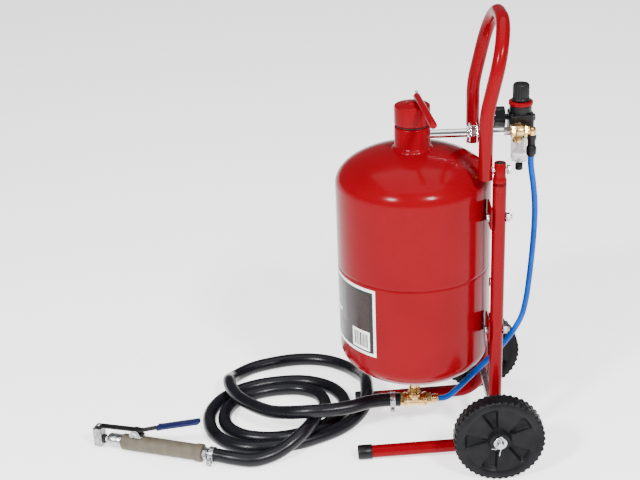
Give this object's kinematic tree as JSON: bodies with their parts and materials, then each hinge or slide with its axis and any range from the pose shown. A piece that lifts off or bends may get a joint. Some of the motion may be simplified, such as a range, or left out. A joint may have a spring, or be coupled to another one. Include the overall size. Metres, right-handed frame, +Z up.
{
  "type": "mobile pressure abrasive blaster",
  "caption": "Upright red pressure tank on a two-wheel cart with a loop handle, filler cap, air regulator line, blast hose and a trigger gun.",
  "frame": {"origin": "centre of the floor footprint of the pot on its cart, without the hose and gun", "axes": "+Z up along the tank; +X towards the handle and wheels at the back; -Y is the left wheel's side; the hose and gun lie towards -X"},
  "size_m": [0.777, 0.4293, 0.7577],
  "materials": {
    "red_paint": "gloss",
    "zinc": "satin",
    "chrome": "polished",
    "brass": "machined",
    "black_plastic": "satin",
    "black_rubber": "matt",
    "clear_bowl": "clear",
    "blue_tube": "gloss",
    "taupe_plastic": "matt",
    "blue_vinyl": "satin",
    "black_steel": "satin",
    "ceramic": "matt",
    "label_print": "gloss",
    "needle_red": "matt"
  },
  "bodies": {
    "pot": {"air_pipe": "chrome", "air_tube": "blue_tube", "axle": "zinc", "axle_washer_left": "zinc", "axle_washer_right": "zinc", "blast_hose": "black_rubber", "bonnet_ring": "red_paint", "bottom_tee": "brass", "bracket_bolt_left_lower": "zinc", "bracket_bolt_left_upper": "zinc", "bracket_bolt_right_lower": "zinc", "bracket_bolt_right_upper": "zinc", "bracket_left_lower": "red_paint", "bracket_left_upper": "red_paint", "bracket_right_lower": "red_paint", "bracket_right_upper": "red_paint", "cotter_pin_left": "zinc", "cotter_pin_right": "zinc", "filler_neck": "red_paint", "filter_bowl": "clear_bowl", "frame_tube_left": "red_paint", "frame_tube_right": "red_paint", "gauge_case": "black_plastic", "gun_bracket": "zinc", "gun_grip": "taupe_plastic", "gun_nipple": "zinc", "gun_nozzle": "ceramic", "gun_pipe": "zinc", "handle_bolt_left": "zinc", "handle_bolt_right": "zinc", "handle_loop": "red_paint", "hose_barb": "brass", "hose_clamp_gun": "zinc", "hose_clamp_tank": "zinc", "inlet_nipple": "zinc", "leg_cap_left": "black_plastic", "leg_cap_right": "black_plastic", "lever_pin": "zinc", "nozzle_nut": "zinc", "outlet_nipple": "brass", "regulator_body": "black_plastic", "tank_label": "label_print", "tank_shell": "red_paint", "top_elbow": "black_plastic", "top_tee": "brass", "tube_fitting": "brass", "union_nut": "chrome"},
    "wheel_left": {"wheel_left": "black_plastic"},
    "wheel_right": {"wheel_right": "black_plastic"},
    "cap_ring": {"cap_gasket": "black_rubber"},
    "cap": {"filler_cap": "red_paint", "cap_plug": "black_steel", "cap_lever": "red_paint"},
    "knob": {"regulator_knob": "black_plastic"},
    "needle": {"gauge_needle": "needle_red"},
    "drain": {"drain_valve": "black_plastic"},
    "trigger": {"gun_lever": "black_steel", "lever_sleeve": "blue_vinyl", "gun_stopper": "zinc", "stopper_pad": "black_rubber"}
  },
  "joints": [
    {"name": "left_wheel_spin", "type": "hinge", "parent": "pot", "child": "wheel_left", "pos_m": [0.09065, -0.148, 0.075], "axis": [0, 1, 0], "continuous": true},
    {"name": "right_wheel_spin", "type": "hinge", "parent": "pot", "child": "wheel_right", "pos_m": [0.09065, 0.148, 0.075], "axis": [0, 1, 0], "continuous": true},
    {"name": "cap_lift", "type": "slide", "parent": "pot", "child": "cap_ring", "axis": [0, 0, 1], "range_m": [0, 0.0092]},
    {"name": "cap_turn", "type": "hinge", "parent": "cap_ring", "child": "cap", "pos_m": [-0.03865, 0, 0.59], "axis": [0, 0, 1], "range_deg": [0, 1440]},
    {"name": "knob_turn", "type": "hinge", "parent": "pot", "child": "knob", "pos_m": [0.13985, 0.038, 0.61], "axis": [0, 0, 1], "range_deg": [0, 1440]},
    {"name": "needle_swing", "type": "hinge", "parent": "pot", "child": "needle", "pos_m": [0.09735, 0.038, 0.568], "axis": [1, 0, 0], "range_deg": [0, 270], "stiffness_Nm_per_rad": 0.002},
    {"name": "drain_turn", "type": "hinge", "parent": "pot", "child": "drain", "pos_m": [0.13985, 0.038, 0.482], "axis": [0, 0, 1], "range_deg": [0, 90]},
    {"name": "trigger_squeeze", "type": "hinge", "parent": "pot", "child": "trigger", "pos_m": [-0.52945, -0.04405, 0.042], "axis": [0.2957, 0.9553, 0], "range_deg": [0, 18], "stiffness_Nm_per_rad": 1.2, "springref_deg": -20.05}
  ],
  "couplings": [
    {"joint": "cap_lift", "follows": "cap_turn", "m_per_rad": 0.00036606}
  ]
}
